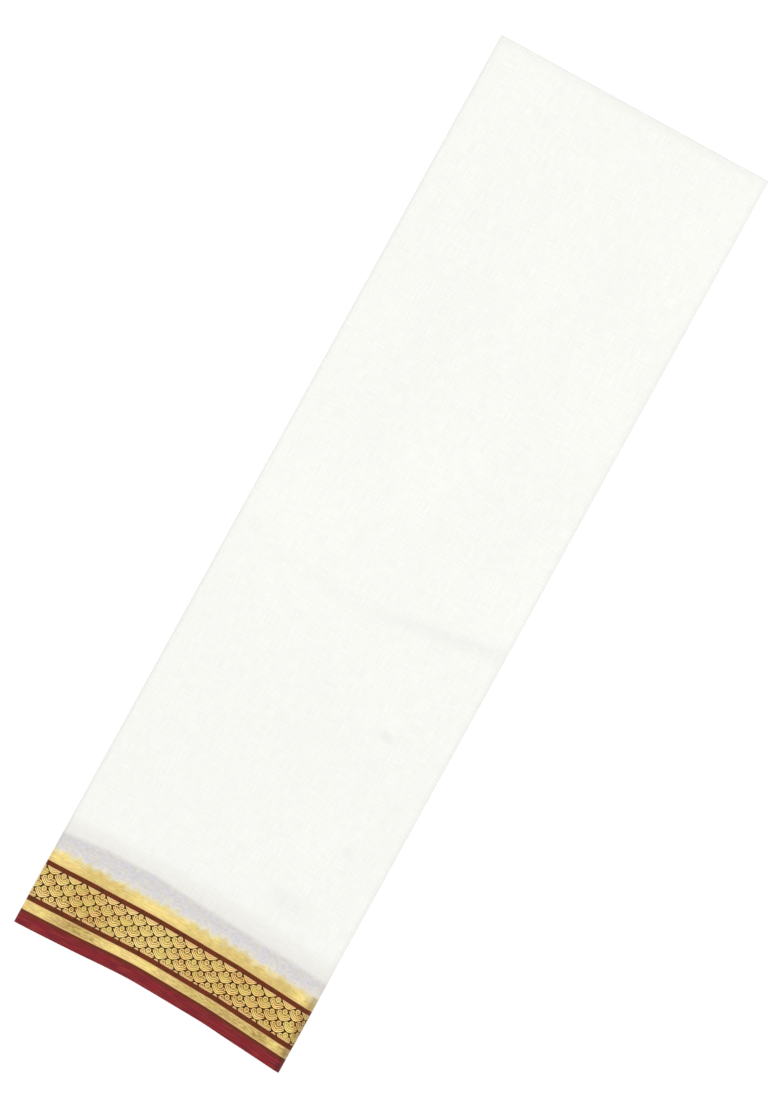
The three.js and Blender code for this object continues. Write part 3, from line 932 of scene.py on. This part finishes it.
# The pale floats in the bowl, each as the bowl, with their widths in the middle and at the tips.
FLOATS = (
    ((4.3, -2.8, 3.0, 1.62, 14), 0.62, 0.4),
    ((3.6, -1.76, 2.6, 1.55, 12), 0.6, 0.36),
    ((2.3, -0.64, 1.5, 1.4, 8), 0.55, 0.34),
)
# The rim of the right petal, and its widths.
RIM = ((3.95, 0.95), (3.35, 1.35), (2.75, 1.63), (2.15, 1.65), (1.55, 1.3))
RIM_WIDTHS = (0.26, 0.42, 0.5, 0.46, 0.3)
RING_RADIUS, RING_WIDTH, RING_STEPS = 1.1, 0.6, 12

RIB_LENGTH, RIB_WIDTH, RIB_STEPS = 10.0, 0.5, 6
# A tooth's threads: how many, how far apart, and half the length of the first one.
TOOTH_THREADS, TOOTH_STEP, TOOTH_HALF = 5, 0.68, 2.8

# A column of buds stands this far from the left edge, and its top row's buds this high.
FIRST_BUD_ACROSS = 5.1 * MM
TOP_BUD = 38.5
BUD_ROWS = 7
# Where the raised threads begin in each gold band, how many there are, and the teeth's foot.
RIB_ROWS = ((9.0, 8), (39.4, 8))
TEETH_UP = 45.0 * MM


def skin(shape, sections, closed=False):
    """Joins cross-sections, each with the same number of corners, into a closed skin."""
    rows = [[shape.verts.new(Vector(corner) * MM) for corner in section] for section in sections]
    pairs = list(zip(rows, rows[1:]))
    if closed:
        pairs.append((rows[-1], rows[0]))
    for first, second in pairs:
        for side in range(len(first)):
            other = (side + 1) % len(first)
            shape.faces.new((first[side], second[side], second[other], first[other]))
    if not closed:
        shape.faces.new(rows[0])
        shape.faces.new(reversed(rows[-1]))


def stroke(shape, points, widths, crest, foot=FOOT, closed=False):
    """Adds a raised stroke along points: two edges at its foot and a crest between."""
    points = [Vector((x, y, 0)) for x, y in points]
    count = len(points)
    sections = []
    for place, point in enumerate(points):
        before = points[(place - 1) % count] if closed or place else point
        after = points[(place + 1) % count] if closed or place < count - 1 else point
        side = Vector((-(after - before).y, (after - before).x, 0)).normalized()
        half = side * widths[place] / 2
        sections.append([point + half + Vector((0, 0, foot)), point + Vector((0, 0, crest)),
                         point - half + Vector((0, 0, foot))])
    skin(shape, sections, closed)


def disc(shape, y, radius, height, steps):
    """Adds a low round pad: its edge on the cloth and its middle raised."""
    sections = []
    for step in range(steps + 1):
        angle = math.pi * step / steps
        half = max(radius * math.sin(angle), 0.05)
        x = -radius * math.cos(angle)
        sections.append([(x, y - half, FOOT), (x, y - half * 0.85, height),
                         (x, y + half * 0.85, height), (x, y + half, FOOT)])
    skin(shape, sections)


def bowl(half_width, bottom, rise, power, steps):
    """Points of an upswept bowl, from its left tip to its right tip."""
    places = [2 * step / steps - 1 for step in range(steps + 1)]
    return [(half_width * p, bottom + rise * abs(p) ** power) for p in places]


def swelling(middle, tip, steps):
    """Widths that swell from a tip to the middle and back."""
    return [tip + (middle - tip) * (1 - abs(2 * step / steps - 1) ** 2)
            for step in range(steps + 1)]


def lotus_gold(shape, relief):
    """The flat gold of one lotus bud: its bowl and petals in one pad, and its round bud."""
    height = relief * 0.5
    sections = []
    for x, bottom in bowl(*BOWL):
        top = float(np.interp(abs(x), PETAL_ACROSS, PETAL_TOP))
        sections.append([(x, bottom, FOOT), (x, bottom + 0.12, height), (x, top - 0.12, height),
                         (x, top, FOOT)])
    skin(shape, sections)
    disc(shape, BUD_RISE, BUD_RADIUS, height * 1.3, 10)


def lotus_pale(shape, relief):
    """The pale floats of one lotus bud: nested bowls, the rims of its petals and its bud's ring."""
    foot, crest = relief * 0.4, relief * 1.25
    for line, middle, tip in FLOATS:
        stroke(shape, bowl(*line), swelling(middle, tip, line[-1]), crest, foot)
    for side in (1, -1):
        stroke(shape, [(side * x, y) for x, y in RIM], RIM_WIDTHS, crest, foot)
    angles = [math.tau * step / RING_STEPS for step in range(RING_STEPS)]
    ring = [(RING_RADIUS * math.cos(angle), BUD_RISE + RING_RADIUS * math.sin(angle))
            for angle in angles]
    stroke(shape, ring, [RING_WIDTH] * RING_STEPS, crest, foot, closed=True)
    stroke(shape, [(x, BUD_RISE) for x in (-0.36, 0.0, 0.36)], (0.35, 0.66, 0.35), crest, foot)


def lotus_heart(shape, relief):
    """The neck between one lotus bud and its petals."""
    stroke(shape, [(0, -0.1), (0, 0.3), (0, 0.75), (0, 1.1)], (0.3, 0.8, 1.1, 0.7),
           relief * 1.1, relief * 0.4)


def rib(shape, relief):
    """A length of one raised zari thread: the nodes lay many of them end to end."""
    points = [(RIB_LENGTH * step / RIB_STEPS, 0) for step in range(RIB_STEPS + 1)]
    stroke(shape, points, [RIB_WIDTH] * len(points), relief * 0.6)


def tooth(shape, relief):
    """One tooth of the gold band's upper edge: threads that shorten towards its point."""
    for place in range(TOOTH_THREADS):
        half = TOOTH_HALF * (1 - 0.9 * place / TOOTH_THREADS)
        # The threads' ends don't line up.
        middle = 0.25 * math.sin(2.3 * place)
        y = TOOTH_STEP * place
        stroke(shape, [(middle - half, y), (middle, y), (middle + half, y)], (0.2, 0.42, 0.2),
               relief * 0.5)


def figure_object(draw, relief, keep_below=None, keep_above=None):
    """A figure as an object, cut straight across where the band's edge cuts it."""
    shape = bmesh.new()
    draw(shape, relief)
    for limit, direction in ((keep_below, 1), (keep_above, -1)):
        if limit is None:
            continue
        everything = shape.verts[:] + shape.edges[:] + shape.faces[:]
        cut = bmesh.ops.bisect_plane(shape, geom=everything, plane_co=(0, limit * MM, 0),
                                     plane_no=(0, direction, 0), clear_outer=True)
        edges = [part for part in cut["geom_cut"] if isinstance(part, bmesh.types.BMEdge)]
        bmesh.ops.holes_fill(shape, edges=edges, sides=0)
    mesh = bpy.data.meshes.new("figure")
    shape.to_mesh(mesh)
    shape.free()
    return new_piece("figure", mesh)


# ---- What every piece ends with ----
def settle_piece(piece, slot):
    """Rides a piece on the one body. Its slot is not used."""
    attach(piece, BODY)
    return piece


class SARI_OT_border(bpy.types.Operator):
    """Makes the woven zones of the border, each one a thin sheet on its own solid"""
    bl_idname = "sari.border"
    bl_label = "Border zones"

    def execute(self, context):
        sizes = context.scene.sari_sizes
        for node, slot, finish, start, end in ZONES:
            # Points lie about 2 mm apart.
            steps = max(2, round((end - start) / 2.0) + 1)
            up = np.linspace(start, end, steps) * MM
            band = wrap_sheet(node + "_cloth", up, sizes, finish)
            settle_piece(band, slot)
            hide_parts(node)
        return {"FINISHED"}


class SARI_OT_field(bpy.types.Operator):
    """Makes the plain silk ground of the outermost stretch"""
    bl_idname = "sari.field"
    bl_label = "Silk field"

    def execute(self, context):
        sizes = context.scene.sari_sizes
        cloth = field_sheet(sizes)
        settle_piece(cloth, "silk_ground")
        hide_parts("silk_field")
        return {"FINISHED"}


class SARI_OT_folds(bpy.types.Operator):
    """Makes the hidden panels, folded inside the outermost stretch"""
    bl_idname = "sari.folds"
    bl_label = "Hidden folds"

    def execute(self, context):
        sizes = context.scene.sari_sizes
        folds, length = hidden_sheet(sizes)
        settle_piece(folds, "folded_silk")
        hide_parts("hidden_folds")
        return {"FINISHED"}


class SARI_OT_figures(bpy.types.Operator):
    """Lays the zari figures on the border: lotus buds, raised threads and teeth"""
    bl_idname = "sari.figures"
    bl_label = "Zari figures"

    def execute(self, context):
        sizes = context.scene.sari_sizes
        guide, cloth_length, cloth_height = guide_cloth(sizes)
        tree = figure_tree()

        def lay(draw, finish, limits=None, **places):
            """Draws one figure, lays it out on the cloth, and returns the mesh of them all."""
            figure = figure_object(draw, sizes.relief / MM, **(limits or {}))
            laid = lay_figures(tree, figure, finish_of(finish), **{
                "Cloth": guide, "Cloth length": cloth_length, "Cloth height": cloth_height,
                "Rows": 1, "Rise": 0.0, "Spread": 0.0, "Jitter": 0.0, "Seed": 5, **places})
            bpy.data.objects.remove(figure)
            return laid

        # Distances along the cloth run from the loose end below, so on the top panel they run
        # from right to left.
        outer_x, outer_z = outer_route(0.0, sizes)
        along = stretch_along(outer_x, outer_z)
        top_start = UNDER_LINES + LAST_FOLD_LINES
        first_bud = along[top_start] + outer_x[top_start] - (LEFT + FIRST_BUD_ACROSS)
        pitch = sizes.motif_pitch
        low_edge, high_edge = LOTUS_ZONE[3:]
        motifs, strokes, hearts = [], [], []
        for row in range(BUD_ROWS):
            tips = TOP_BUD - row * sizes.motif_rise / MM - BUD_RISE
            limits = {}
            if tips + BUD_TOP > high_edge:
                limits["keep_below"] = high_edge - tips
            if tips - BOWL_DEPTH < low_edge:
                limits["keep_above"] = low_edge - tips
            # Only whole buds are laid, so a row begins and ends inside the cloth's two ends.
            first = (first_bud / pitch + row / 2) % 1.0 * pitch
            if first < BUD_HALF_WIDTH:
                first += pitch
            count = int((cloth_length - BUD_HALF_WIDTH - first) / pitch) + 1
            places = {"Columns": count, "Pitch": pitch,
                      "First column": first, "First row": tips * MM}
            motifs.append(lay(lotus_gold, "motif", limits, **places))
            strokes.append(lay(lotus_pale, "stroke", limits, **places))
            # A bud that the band's edge cuts has no heart.
            if low_edge < tips - 0.8 and tips + 1.1 < high_edge:
                hearts.append(lay(lotus_heart, "heart", **places))
        length = RIB_LENGTH * MM
        ribs = [lay(rib, "gold", Columns=int(cloth_length / length), Rows=count,
                    Pitch=length, Rise=sizes.rib_pitch,
                    **{"First column": 0.0, "First row": first * MM})
                for first, count in RIB_ROWS]
        teeth = [lay(tooth, "tooth", Columns=int(cloth_length / sizes.tooth_pitch) - 1,
                     Pitch=sizes.tooth_pitch, Spread=0.3, Jitter=1.1 * MM,
                     **{"First column": sizes.tooth_pitch / 2, "First row": TEETH_UP})]
        bpy.data.objects.remove(guide)
        for name, meshes, finish, slot in (
                ("lotus_buds", motifs, "motif", "figured_zari"),
                ("lotus_strokes", strokes, "stroke", "figured_zari"),
                ("lotus_hearts", hearts, "heart", "figured_zari"),
                ("zari_threads", ribs, "gold", "gold_zari"),
                ("zari_teeth", teeth, "tooth", "gold_zari")):
            settle_piece(join_meshes(name, meshes, finish_of(finish)), slot)
        return {"FINISHED"}


class SARI_OT_stage(bpy.types.Operator):
    """Makes the white floor, the soft lights and the camera straight above"""
    bl_idname = "sari.stage"
    bl_label = "Stage"

    def execute(self, context):
        scene = context.scene
        # The floor lies just below the cloth, so that the two never share a level.
        bpy.ops.mesh.primitive_plane_add(size=8.0, location=(0, 0, -0.2 * MM))
        floor = context.object
        floor.name = "white_floor"
        floor.data.materials.append(finish_of("acrylic"))
        world = bpy.data.worlds.new("soft_studio")
        scene.world = world
        world.use_nodes = True
        sky = world.node_tree.nodes["Background"]
        sky.inputs["Color"].default_value = (1, 1, 1, 1)
        sky.inputs["Strength"].default_value = 0.9
        # A broad soft light low over the border end brings out the creases.
        light = bpy.data.lights.new("soft_key_light", "SUN")
        light.energy = 2.0
        light.angle = math.radians(25)
        lamp = bpy.data.objects.new("soft_key_light", light)
        lamp.location = Vector((0.04, -0.882, 0.469)) * 2.0
        lamp.rotation_euler = (-lamp.location).to_track_quat("-Z", "Y").to_euler()
        scene.collection.objects.link(lamp)
        # The strip lies turned by this angle in the frame, seen almost without perspective.
        turn = math.radians(28.81)
        frame_height_px = 1108
        millimetres_per_pixel = 0.5631
        view_height = frame_height_px * millimetres_per_pixel * MM
        camera_data = bpy.data.cameras.new("camera_above")
        camera_data.lens = 300.0
        camera_data.sensor_width = 36.0
        camera = bpy.data.objects.new("camera_above", camera_data)
        distance = view_height * camera_data.lens / camera_data.sensor_width
        camera.location = (0.0, 0.0, TOP + distance)
        camera.rotation_euler = Euler((0, 0, turn))
        camera_data.clip_end = 50.0
        scene.collection.objects.link(camera)
        scene.camera = camera
        scene.view_settings.view_transform = "Standard"
        return {"FINISHED"}


class SARI_PT_panel(bpy.types.Panel):
    """Lists the sari's steps and sizes"""
    bl_label = "Sari"
    bl_idname = "SARI_PT_panel"
    bl_space_type = "VIEW_3D"
    bl_region_type = "UI"
    bl_category = "Sari"

    def draw(self, context):
        layout = self.layout
        for step in STEPS:
            layout.operator(step.bl_idname)
        for group in (context.scene.sari_sizes, context.scene.sari_colours):
            box = layout.box()
            for name in group.__annotations__:
                box.prop(group, name)


STEPS = (SARI_OT_border, SARI_OT_field, SARI_OT_folds, SARI_OT_figures, SARI_OT_stage)
CLASSES = (SariSizes, SariColours, *STEPS, SARI_PT_panel)


def register():
    for kind in CLASSES:
        bpy.utils.register_class(kind)
    bpy.types.Scene.sari_sizes = bpy.props.PointerProperty(type=SariSizes)
    bpy.types.Scene.sari_colours = bpy.props.PointerProperty(type=SariColours)


def unregister():
    del bpy.types.Scene.sari_colours
    del bpy.types.Scene.sari_sizes
    for kind in reversed(CLASSES):
        bpy.utils.unregister_class(kind)


def main():
    register()
    bpy.ops.sari.border()
    bpy.ops.sari.field()
    bpy.ops.sari.folds()
    bpy.ops.sari.figures()
    bpy.ops.sari.stage()


if __name__ == "__main__":
    main()
